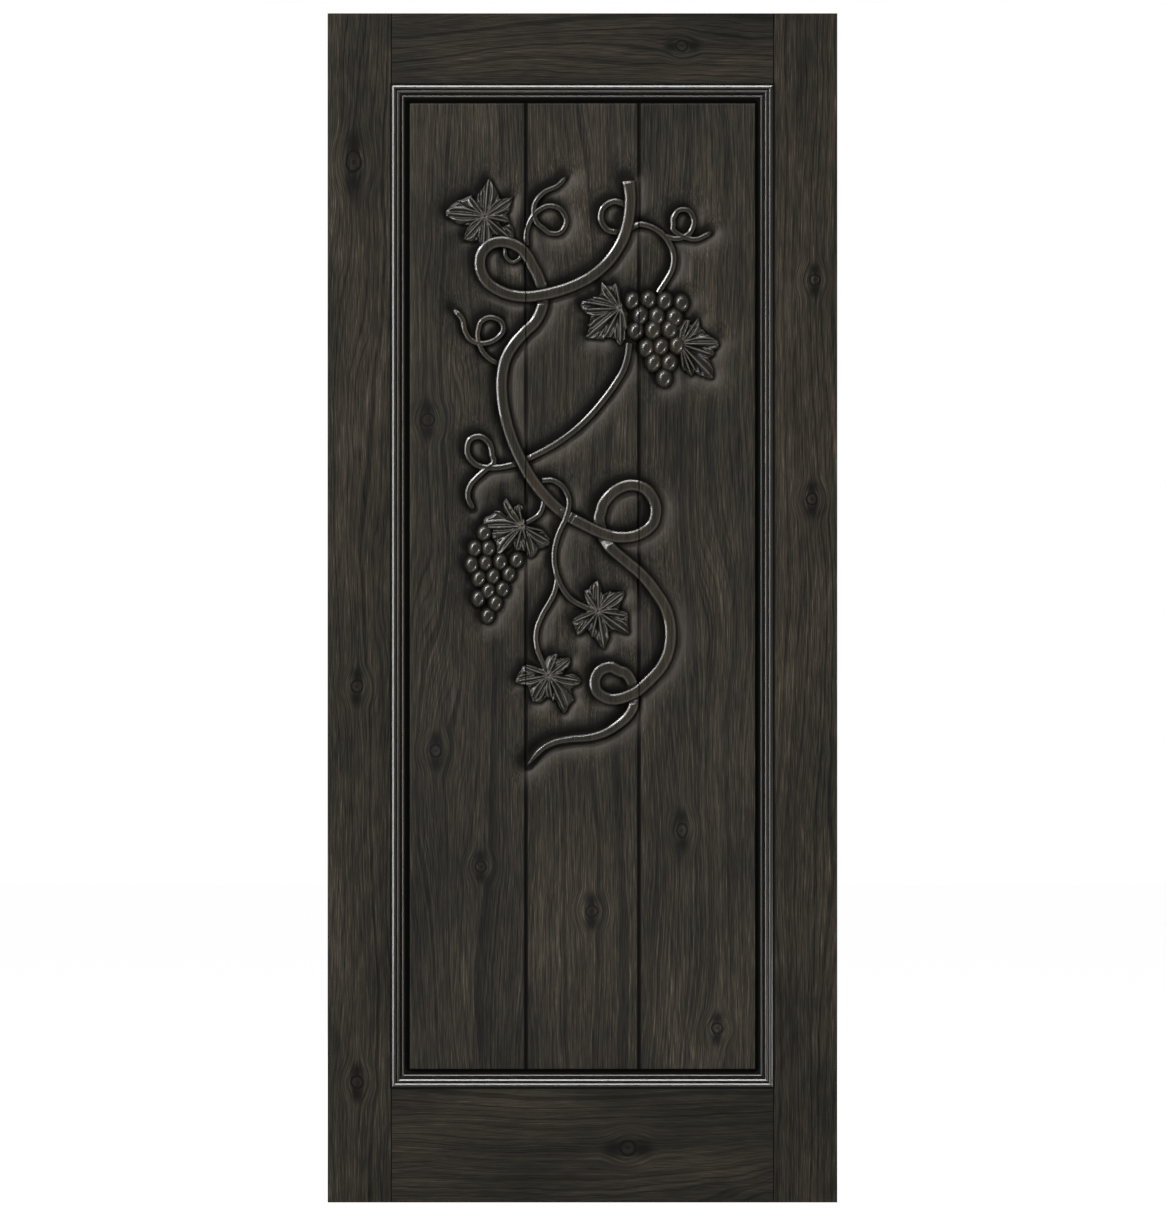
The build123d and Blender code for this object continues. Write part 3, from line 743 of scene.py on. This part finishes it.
def leaf_mesh(edge):
    """Triangles over a leaf: their corners, the edge's first and in order, and the faces."""
    ways = np.roll(edge, -1, 0) - np.roll(edge, 1, 0)
    ways /= np.linalg.norm(ways, axis=1)[:, None]
    inward = np.column_stack([-ways[:, 1], ways[:, 0]])
    points = [edge]
    for inset in (0.45, 1.2):
        ring = edge + inward * inset
        points.append(ring[inside(ring, edge) & (gap_to(ring, edge) > inset * 0.8)])
    low, high = edge.min(0), edge.max(0)
    grid = np.array([(x + (leaf_step / 2 if row % 2 else 0), z)
                     for row, z in enumerate(np.arange(low[1], high[1], leaf_step * 0.87))
                     for x in np.arange(low[0], high[0], leaf_step)])
    grid = grid[inside(grid, edge)]
    points.append(grid[gap_to(grid, edge) > 1.9])
    count = len(edge)
    links = [(i, (i + 1) % count) for i in range(count)]
    flat = geometry.delaunay_2d_cdt([Vector(p) for p in np.vstack(points)], links, [], 1, 1e-4)
    spots = np.array([(v.x, v.y) for v in flat[0]])
    return spots, [tuple(face) for face in flat[2]]


def leaf_relief(spots, edge, hub, tips):
    """The height of each place on a leaf, its painted shade in the cuts and its painted highlight
    on the ridges.
    """
    from_edge = np.full(len(spots), 1e9)
    for a, b in zip(edge, np.roll(edge, -1, 0)):
        from_edge = np.minimum(from_edge, to_segment(spots, a, b)[0])
    nearest = np.full(len(spots), 1e9)
    second = np.full(len(spots), 1e9)
    reach = np.zeros(len(spots))
    length = np.ones(len(spots))
    for tip in np.array(tips, float):
        away, share = to_segment(spots, hub, tip)
        closer = away < nearest
        second = np.where(closer, nearest, np.minimum(second, away))
        reach = np.where(closer, share, reach)
        length = np.where(closer, np.linalg.norm(tip - hub), length)
        nearest = np.minimum(nearest, away)
    from_hub = from_point(spots, hub)
    # A steep rolled edge, and a raised rib along each lobe with a groove and a bowed fold on
    # either side of it
    bow = length * 0.46 * reach * (1 - 0.82 * reach) + 0.8
    fading = smoothstep((1.04 - reach) * 5) * smoothstep(from_hub / 5)
    rolled = 1 - np.exp(-from_edge / 0.5)
    body = (3.2 * rolled + 3.4 * smoothstep(from_edge / 7.0)) * (1 - 0.25 * reach ** 2)
    rib = 1.9 * np.exp(-(nearest / 2.1) ** 2) * fading
    groove = 2.4 * np.exp(-((nearest - 0.55 * bow) / (0.2 * bow + 1.0)) ** 2) * fading
    fold = 1.6 * np.exp(-((nearest - bow) / 2.2) ** 2) * smoothstep(from_edge / 2.2) * fading
    valley = 3.0 * np.exp(-((second - nearest) / 3.0) ** 2) * smoothstep(from_hub / 8)
    dome = 2.2 * smoothstep(1 - from_hub / 45)
    cup = 2.4 * np.exp(-(from_hub / 4.0) ** 2)
    level = body + rib + fold + dome - groove - valley - cup
    level = np.minimum(np.maximum(level, 1.2 * rolled), 11.2)
    # Painted shade in the grooves, valleys and cup and along the edge, and painted highlight on the
    # ribs and folds
    deep = smoothstep((groove + valley * 0.8 + cup - 0.3) / 2.0) + 0.5 * np.exp(-from_edge / 0.7)
    highlighted = smoothstep((rib + fold - 1.0) / 0.8) * 0.6
    return level, deep, highlighted


def leaf_piece(name, material):
    """A carved leaf: steep rolled edge, a crease along each lobe and a valley between lobes."""
    hub, outline, tips = leaves[name]
    edge = leaf_outline(outline)
    spots, faces = leaf_mesh(edge)
    level, deep, highlighted = leaf_relief(spots, edge, np.array(hub, float), tips)
    level[:len(edge)] = -skirt
    # The sunk edge gets the full painted shade
    deep[:len(edge)] = 1.0
    vertices = [carved_place(spot, height) for spot, height in zip(spots, level)]
    faces.append(tuple(range(len(edge))))
    return new_piece(name, vertices, faces, material, np.clip(deep, 0, 1), highlighted, 50.0, joints_x)


def bunch_piece(name, material):
    """Grapes a little longer than they are wide, each with its own tilt and size."""
    radius, middles = bunches[name]
    work = bmesh.new()
    for middle in middles:
        before = len(work.verts)
        bmesh.ops.create_icosphere(work, subdivisions=4, radius=radius * MM)
        work.verts.ensure_lookup_table()
        x, z = on_panel(middle)
        size = 1.07 + rng.uniform(-0.03, 0.03)
        tall = 1.17 + rng.uniform(-0.02, 0.04)
        deep = 0.97 + rng.uniform(-0.06, 0.02)
        lean = rng.uniform(-0.22, 0.22)
        for v in list(work.verts)[before:]:
            lx, ly, lz = v.co * size
            lz *= tall
            ly *= deep
            lx, lz = (lx * math.cos(lean) - lz * math.sin(lean),
                      lx * math.sin(lean) + lz * math.cos(lean))
            v.co = (x * MM + lx, (grape_sink - plank_face) * MM + ly, z * MM + lz)
    vertices = [tuple(v.co) for v in work.verts]
    faces = [tuple(v.index for v in f.verts) for f in work.faces]
    work.free()
    level = np.array([-v[1] / MM - plank_face for v in vertices])
    # Painted shade on the lower sides and in the gaps, darker the nearer the boards
    hollow_shade = smoothstep((9.0 - level) / 9.0)
    return new_piece(name, vertices, faces, material, hollow_shade, sharp=70.0, slots=joints_x)


# Slot, pieces, how one is made, the shine of its highlighted copy, its wood, and which faces toward
# the lamps get that copy
carvings = [
    ("vine_wood", strands, strand_piece, 0.9,
     dict(seed=5.2, lift=1.08, warmth=2.2, gloss=0.2, fibres=0.9, relief=0.08), {}),
    ("leaf_wood", leaves, leaf_piece, 1.0,
     dict(seed=6.6, lift=1.1, warmth=2.0, gloss=0.23, figure=0.8, fibres=0.8, relief=0.06),
     dict(steep=0.74, flat=0.975, least=0.16)),
    ("grape_wood", bunches, bunch_piece, 1.0,
     dict(seed=7.9, lift=0.98, warmth=2.1, gloss=0.22, figure=0.7, fibres=0.6, relief=0.04),
     dict(least=0.38, rim=True)),
]
for slot, names, build, shine, settings, shoulders in carvings:
    plain = wood(slot, shine=0.2, carved=True, **settings)
    shiny = wood(f"{slot}_rubbed", shine=shine, carved=True, **settings)
    for name in names:
        dress(shine_toward_lamps(build(name, plain), shiny, **shoulders), name)


# Boards: a fine grid on the carved face, sunk round the vine, and a plain bevelled back
carved_low, carved_high = field_top - 1235, field_top - 88
fine_step, plain_step = 2.4, 12.0
dish_depth, dish_fall = 7.8, 15.0
# The boards' edges are rubbed to a narrow sloping arris, and the channel has a V-shaped bottom
arris_away = (0.0, 0.3, 1.9)
arris_drop = (1.0, 0.62, 0.0)
arris_rise = 0.4  # how much less the edges drop at the joints
channel_slope = 0.75

round_places = [(on_panel(p), strand_shapes[name][0] / 2)
                for name, parts in strands.items() for part in parts for p in part[::2]]
round_places += [(on_panel(p), radius) for radius, middles in bunches.values() for p in middles]
vine_points, vine_reach = (np.array(values) for values in zip(*round_places))
leaf_edges = [np.array([on_panel(p) for p in leaf_outline(outline, 3.0)])
              for _, outline, _ in leaves.values()]


def vine_gap(points):
    """How far each place on the boards is from the nearest carved piece."""
    gaps = gap_to(points, vine_points, vine_reach)
    for edge in leaf_edges:
        low, high = edge.min(0) - 60, edge.max(0) + 60
        near = np.all((points > low) & (points < high), axis=1)
        picked = points[near]
        if len(picked):
            far = np.where(inside(picked, edge), 0, gap_to(picked, edge))
            gaps[near] = np.minimum(gaps[near], far)
    return np.maximum(gaps, 0)


def plank_level(points):
    """The boards' face before carving: border in the groove, field and bevelled joints."""
    x, z = points[:, 0], points[:, 1]
    rim = np.minimum(np.minimum(x - field_left, field_right - x),
                     np.minimum(z - field_bottom, field_top - z))
    half = channel_width / 2
    bottom = tongue_face - channel_slope * np.maximum(half - np.abs(rim + half), 0)
    level = np.where(rim < 0, bottom, plank_face - np.interp(rim, arris_away, arris_drop))
    for joint in joints_x:
        away = np.abs(x - joint) - joint_bevel
        arris = np.interp(np.maximum(away, 0), arris_away, arris_drop)
        drop = np.maximum(-away, 0) + arris - arris_rise
        level = np.minimum(level, plank_face - np.maximum(drop, 0))
    return level, rim


def carved_ground(points, rim):
    """How deep the ground is sunk round the vine, and its painted shade and painted highlight."""
    gap = vine_gap(points)
    inner = smoothstep(rim / 30)
    sunk = dish_depth * np.exp(-gap / dish_fall) * (1 - smoothstep((gap - 20) / 32))
    uneven = 1 + 0.2 * np.sin(points[:, 0] * 0.11 + 2) * np.sin(points[:, 1] * 0.083)
    # Painted shade hugs the vine all round and spreads over the ground to its upper left, and
    # painted highlight lies on the ground to its lower right
    to_shadow = vine_gap(points + np.array((8.0, -8.0)))
    to_light = vine_gap(points + np.array((-10.0, 10.0)))
    dark = np.maximum(0.95 * np.exp(-(gap / 3.2) ** 1.6),
                      0.9 * np.exp(-(to_shadow / 10.0) ** 1.3))
    side = np.clip((to_shadow - to_light) / 15, 0, 1)
    highlighted = 0.45 * side * np.exp(-(gap / 18) ** 1.6) * smoothstep(gap / 4) * inner
    return sunk * uneven * inner, dark, highlighted


def lines_between(low, high, step):
    """Grid lines from low to high at about even steps."""
    return list(np.linspace(low, high, max(2, int(round((high - low) / step)) + 1)))


def merged(values):
    """The values in order, without those that almost repeat the one before."""
    out = []
    for value in sorted(values):
        if not out or value - out[-1] > 0.12:
            out.append(value)
    return np.array(out)


def plank_piece(name, low_x, high_x, material):
    """One board: two sheets, front and back, joined round their edges."""
    low_z, high_z = opening_bottom - panel_reach, opening_top + panel_reach
    channel_marks = (-channel_width, -channel_width / 2, -0.25, *arris_away)
    xs = [low_x, high_x]
    for joint in joints_x:
        if joint in (low_x, high_x):
            sign = 1 if joint == low_x else -1
            xs += [joint + sign * (joint_bevel + s) for s in (-1.6, *arris_away)]
    for edge_x, sign in ((field_left, 1), (field_right, -1)):
        if low_x < edge_x < high_x:
            xs += [edge_x + sign * s for s in channel_marks]
    zs = [low_z, high_z, carved_low, carved_high]
    for edge_z, sign in ((field_bottom, 1), (field_top, -1)):
        zs += [edge_z + sign * s for s in channel_marks]
    front_xs = merged(xs + lines_between(max(low_x, field_left) + 5.5,
                                         min(high_x, field_right) - 5.5, fine_step))
    front_zs = merged(zs + lines_between(carved_low, carved_high, fine_step)
                      + lines_between(field_bottom + 4, carved_low, plain_step)
                      + lines_between(carved_high, field_top - 4, plain_step))
    vertices, faces, hollow_shade, wear_and_highlight = [], [], [], []

    def sheet(grid_xs, grid_zs, front):
        """Adds one face of the board, and gives the vertices along its four edges."""
        first = len(vertices)
        points = np.array([(x, z) for z in grid_zs for x in grid_xs])
        level, rim = plank_level(points)
        # Painted shade in the channel and in the joints' grooves, with the sunk ground's painted
        # shade and highlight on the front
        dark = np.where(rim < 0, 1.0, 0.0)
        highlighted = np.zeros(len(points))
        for joint in joints_x:
            away = np.abs(points[:, 0] - joint)
            dark = np.maximum(dark, 1 - smoothstep((away - 2.9) / 1.6))
        if front:
            sunk, shadow, highlighted = carved_ground(points, rim)
            level = level - sunk
            dark = np.maximum(dark, shadow)
        facing = -1 if front else 1
        vertices.extend((x * MM, facing * height * MM, z * MM)
                        for (x, z), height in zip(points, level))
        hollow_shade.extend(dark)
        wear_and_highlight.extend(highlighted)
        numbers = np.arange(first, len(vertices)).reshape(len(grid_zs), len(grid_xs))
        faces.extend(quads(numbers))
        return [side.tolist() for side in (numbers[0], numbers[-1], numbers[:, 0], numbers[:, -1])]

    for front_side, back_side in zip(sheet(front_xs, front_zs, True),
                                     sheet(merged(xs), merged(zs), False)):
        faces.append(tuple(front_side + back_side[::-1]))
    return new_piece(name, vertices, faces, material, hollow_shade, wear_and_highlight, sharp=28.0)


for number, (name, (low_x, high_x, knots)) in enumerate(planks.items()):
    board_wood = wood(f"{name}_wood", True, knots, seed=1.7 + 2.3 * number, carved=True,
                      lift=1.28, gloss=0.36, shine=0.14)
    dress(plank_piece(name, low_x, high_x, board_wood), name)


# Mouldings: outer bead, quirk, second bead, cove and inner bead, mitred at the corners
def bead(start, top, end, tilt):
    """A bead with a flat on each shoulder, as a scraped moulding has."""
    (u0, v0), (u1, v1) = start, end
    width = u1 - u0
    rise = top - (v0 + v1) / 2
    crown = 0.012 * width
    fall = 0.37 * width * math.tan(math.radians(tilt))
    half = [(0.0, 0.0), (0.012, 0.3 * rise), (0.05, 0.85 * (rise - crown - fall))]
    half += [(0.08, rise - crown - fall), (0.45, rise - crown)]
    stops = half + [(0.5, rise)] + [(1 - s, h) for s, h in half[::-1]]
    return [(u0 + width * s, v0 + (v1 - v0) * s + h) for s, h in stops]


def moulding_section(tilt):
    """Across and up from the boards' border, from the frame inward."""
    outline = [(0.0, 0.0), (0.0, 13.9), (0.9, 13.9), (1.0, 15.6)]
    outline += bead((1.1, 16.6), 21.1, (8.9, 16.6), tilt)
    outline += [(9.3, 14.6)]
    outline += bead((9.7, 15.5), 18.6, (15.4, 15.5), tilt)
    outline += [(15.6, 14.2), (16.4, 12.4), (17.6, 11.2), (18.9, 10.6)]
    outline += bead((19.2, 11.1), 13.4, (23.3, 11.1), tilt)
    return outline + [(moulding_width, 10.4), (moulding_width, 0.0)]


shoulder_tilts = {"left": 18.0, "bottom": 26.0, "right": 23.4, "top": 16.8}
quirks = (0.4, 9.3, 17.6, 23.6)
outer_bead, second_bead = 19.2, 12.4  # the levels that their shoulders lie above
# The highlighted copies, for bead shoulders turned toward the lamps, are shinier and darker
moulding_wood = {
    (upright, highlighted): wood(f"moulding_{number}", upright, seed=2.4 + number, lift=lift,
                            warmth=2.2, gloss=0.17, shine=shine, carved=True, fibres=1.0,
                            relief=0.05)
    for number, (upright, highlighted, shine, lift) in enumerate([
        (True, False, 0.24, 0.95), (False, False, 0.24, 0.95),
        (True, True, 0.75, 0.7), (False, True, 1.0, 0.7)])
}


def moulding_piece(node, side, start, end, facing):
    """One side's length, mitred at both corners of the opening."""
    along = (end - start) / np.linalg.norm(end - start)
    inward = np.array([-along[1], along[0]])
    profile = moulding_section(shoulder_tilts[side])
    vertices, hollow_shade = [], []
    for corner, turn in ((start, 1), (end, -1)):
        for u, v in profile:
            x, z = corner + inward * u + along * turn * u
            vertices.append((x * MM, facing * (tongue_face + v) * MM, z * MM))
            # Painted shade in the quirks
            from_quirk = min(abs(u - quirk) for quirk in quirks)
            hollow_shade.append(math.exp(-(from_quirk / 1.1) ** 2))
    faces = tube(0, 2, len(profile))
    upright = side in ("left", "right")
    piece = new_piece(node, vertices, faces, moulding_wood[upright, False], hollow_shade, sharp=11.0)

    def on_bead(centre):
        level = -centre.y / MM - tongue_face
        return level > outer_bead or side in ("right", "bottom") and level > second_bead

    return shine_toward_lamps(piece, moulding_wood[upright, True], on_bead)


corners = {
    "left": (opening_left, opening_top), "bottom": (opening_left, opening_bottom),
    "right": (opening_right, opening_bottom), "top": (opening_right, opening_top),
}
ends = np.array(list(corners.values()))
for side, start, end in zip(corners, ends, np.roll(ends, -1, axis=0)):
    for face_name, facing in (("front", -1), ("back", 1)):
        node = f"{face_name}_{side}_moulding"
        dress(moulding_piece(node, side, start, end, facing), node)


# Floor, world and light
world_light = 0.17
floor_seen, floor_colour, floor_share = 1.5, (0.86, 0.86, 0.86, 1), 0.62
floor_half = 14.0


def studio_white():
    """A pale surface that the camera sees as white, with the door's shadow on it."""
    n = Material("studio_floor")
    n.shader.inputs["Base Color"].default_value = floor_colour
    n.shader.inputs["Roughness"].default_value = 0.9
    n.shader.inputs["Specular IOR Level"].default_value = 0.0
    glow = n.add("ShaderNodeEmission")
    glow.inputs["Strength"].default_value = floor_seen
    both = n.add("ShaderNodeMixShader")
    shown = n.fill(both, n.math("MULTIPLY", n.seen(), floor_share), n.shader.outputs[0],
                   glow.outputs[0])
    n.put(shown, n.output.inputs[0])
    return n.material


floor_mesh = bpy.data.meshes.new("studio_floor")
turns = ((-1, -1), (1, -1), (1, 1), (-1, 1))
floor_mesh.from_pydata([(x * floor_half, y * floor_half, 0) for x, y in turns], [], [(0, 1, 2, 3)])
floor_mesh.materials.append(studio_white())
new_object("studio_floor", floor_mesh)

world = bpy.data.worlds.new("studio")
bpy.context.scene.world = world
world.use_nodes = True
sky = Nodes(world.node_tree)
background = sky.tree.nodes["Background"]
background.inputs["Color"].default_value = (1, 1, 1, 1)
sky.put(sky.remap(sky.seen(), 0.0, 1.0, world_light, 1.0, smooth=False),
         background.inputs["Strength"])


def lamp(name, place, aim, size, power):
    """A rectangular lamp, turned toward what it lights."""
    data = bpy.data.lights.new(name, "AREA")
    data.shape = "RECTANGLE"
    data.size, data.size_y = size
    data.energy = power
    item = new_object(name, data)
    item.location = place
    item.rotation_euler = (Vector(aim) - Vector(place)).to_track_quat("-Z", "Y").to_euler()


door_x = centre_x * MM
middle = (door_x, 0, 1.15)
lamp("key", (-1.75, -3.1, 3.35), middle, (0.6, 0.6), 40)
lamp("left_strip", (-1.95, -2.7, 1.1), (door_x, 0, 1.1), (0.2, 3.6), 47)
lamp("top_strip", (door_x, -5.0, 5.75), middle, (4.6, 0.36), 105)
lamp("low_rim", (2.9, -1.7, 0.1), middle, (0.3, 0.3), 18)
lamp("back", (-1.3, 3.6, 2.8), middle, (1.6, 1.6), 120)

focal, sensor = 200.0, 36.0
seen_height = 2.191
view_x, view_z = 0.4582, 1.0639
camera_data = bpy.data.cameras.new("camera")
camera_data.lens = focal
camera_data.sensor_width = sensor
camera = new_object("camera", camera_data)
camera.location = (view_x, -seen_height * focal / sensor, view_z)
camera.rotation_euler = (math.pi / 2, 0, 0)
bpy.context.scene.camera = camera
bpy.context.scene.view_settings.view_transform = "Standard"
